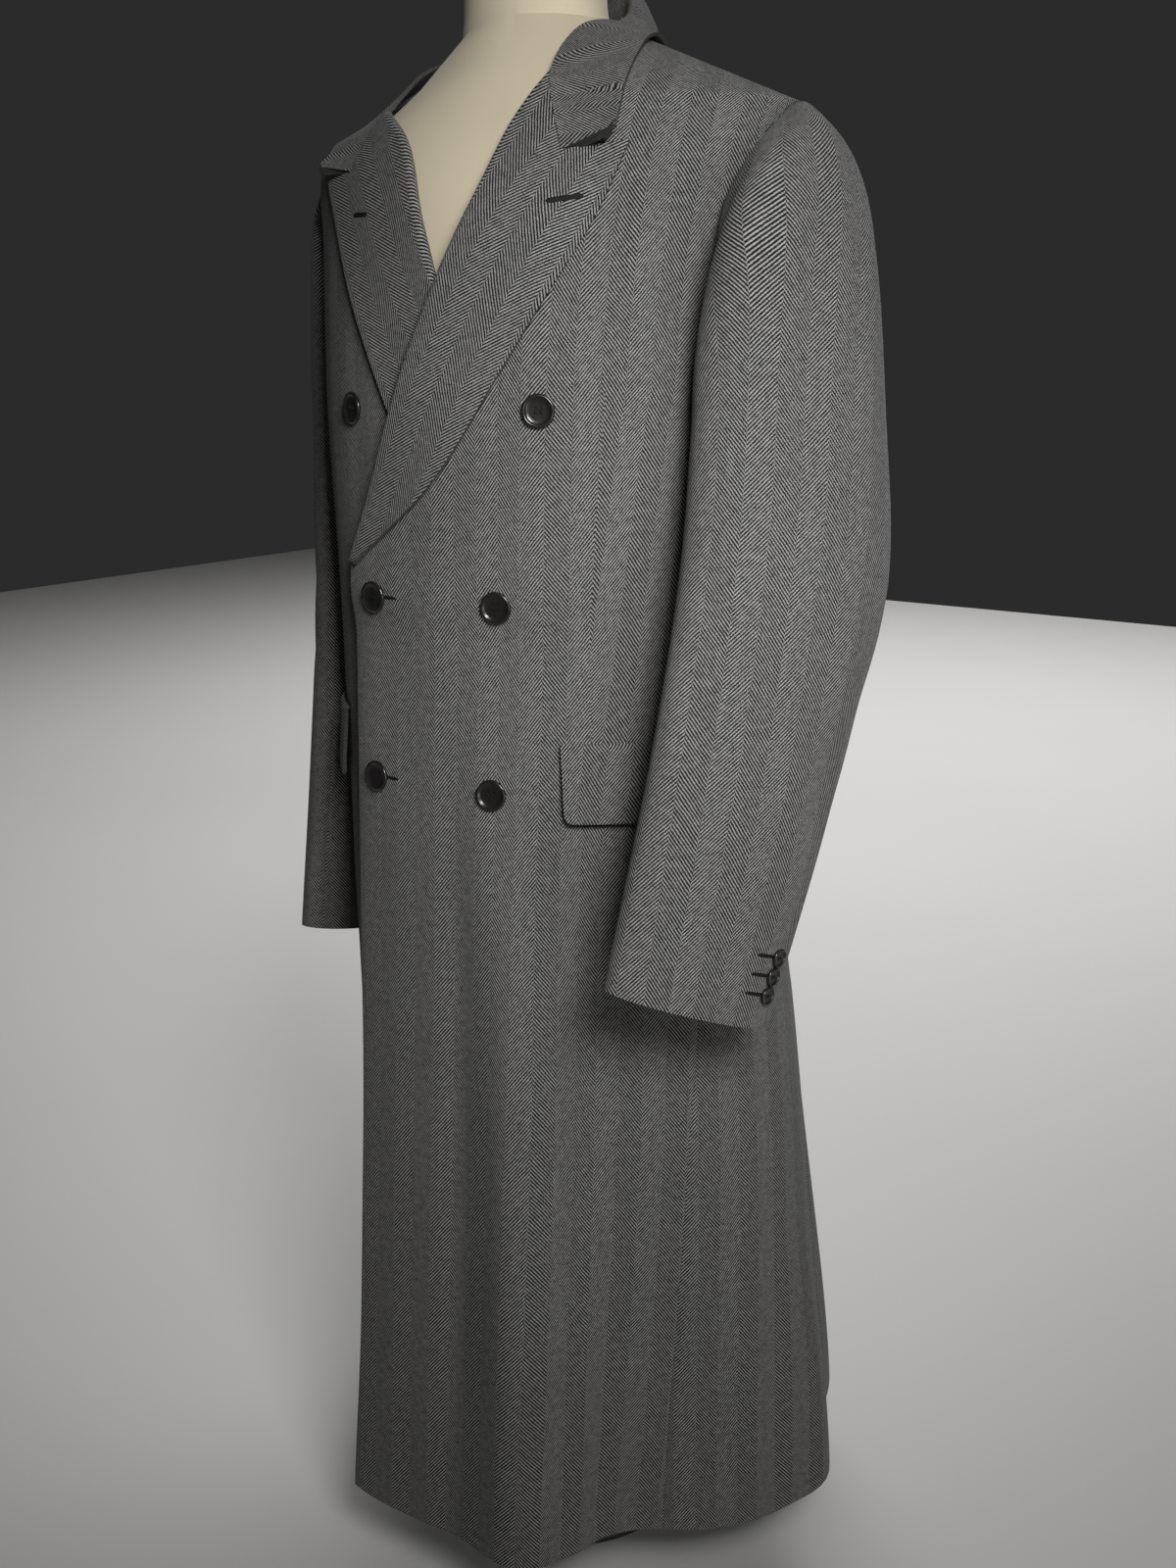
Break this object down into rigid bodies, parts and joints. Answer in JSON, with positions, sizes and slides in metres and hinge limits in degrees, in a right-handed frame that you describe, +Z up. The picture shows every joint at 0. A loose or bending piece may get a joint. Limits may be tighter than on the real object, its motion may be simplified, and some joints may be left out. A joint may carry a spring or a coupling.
{
  "type": "double-breasted overcoat on a dress form",
  "caption": "Long double-breasted wool overcoat with peaked lapels, flap pockets and set-in sleeves, buttoned on a limbless dress form with a round base.",
  "frame": {"origin": "centre of the underside of the stand's round base, on the floor", "axes": "+Z up, -Y towards the front of the coat, +X towards the wearer's left"},
  "size_m": [0.6321, 0.5074, 1.5073],
  "materials": {
    "wool": "charcoal and off-white herringbone wool with a soft matte nap",
    "button_black": "near-black with a raised glossy rim",
    "form_cloth": "stretched cream calico",
    "cap_wood": "satin brown",
    "pole_metal": "brushed",
    "base_paint": "satin black"
  },
  "bodies": {
    "root": {"collar": "wool", "front_left": "wool", "side_left": "wool", "back_left": "wool", "lapel_left": "wool", "flap_left": "wool", "sleeve_top_left": "wool", "sleeve_under_left": "wool", "front_right": "wool", "side_right": "wool", "back_right": "wool", "lapel_right": "wool", "flap_right": "wool", "sleeve_top_right": "wool", "sleeve_under_right": "wool", "button_top_left": "button_black", "button_top_right": "button_black", "button_middle_left": "button_black", "button_middle_right": "button_black", "button_bottom_left": "button_black", "button_bottom_right": "button_black", "cuff_button_left_1": "button_black", "cuff_button_left_2": "button_black", "cuff_button_left_3": "button_black", "cuff_button_right_1": "button_black", "cuff_button_right_2": "button_black", "cuff_button_right_3": "button_black", "form_torso": "form_cloth", "form_cap": "cap_wood", "stand_pole": "pole_metal", "stand_base": "base_paint"}
  },
  "joints": []
}
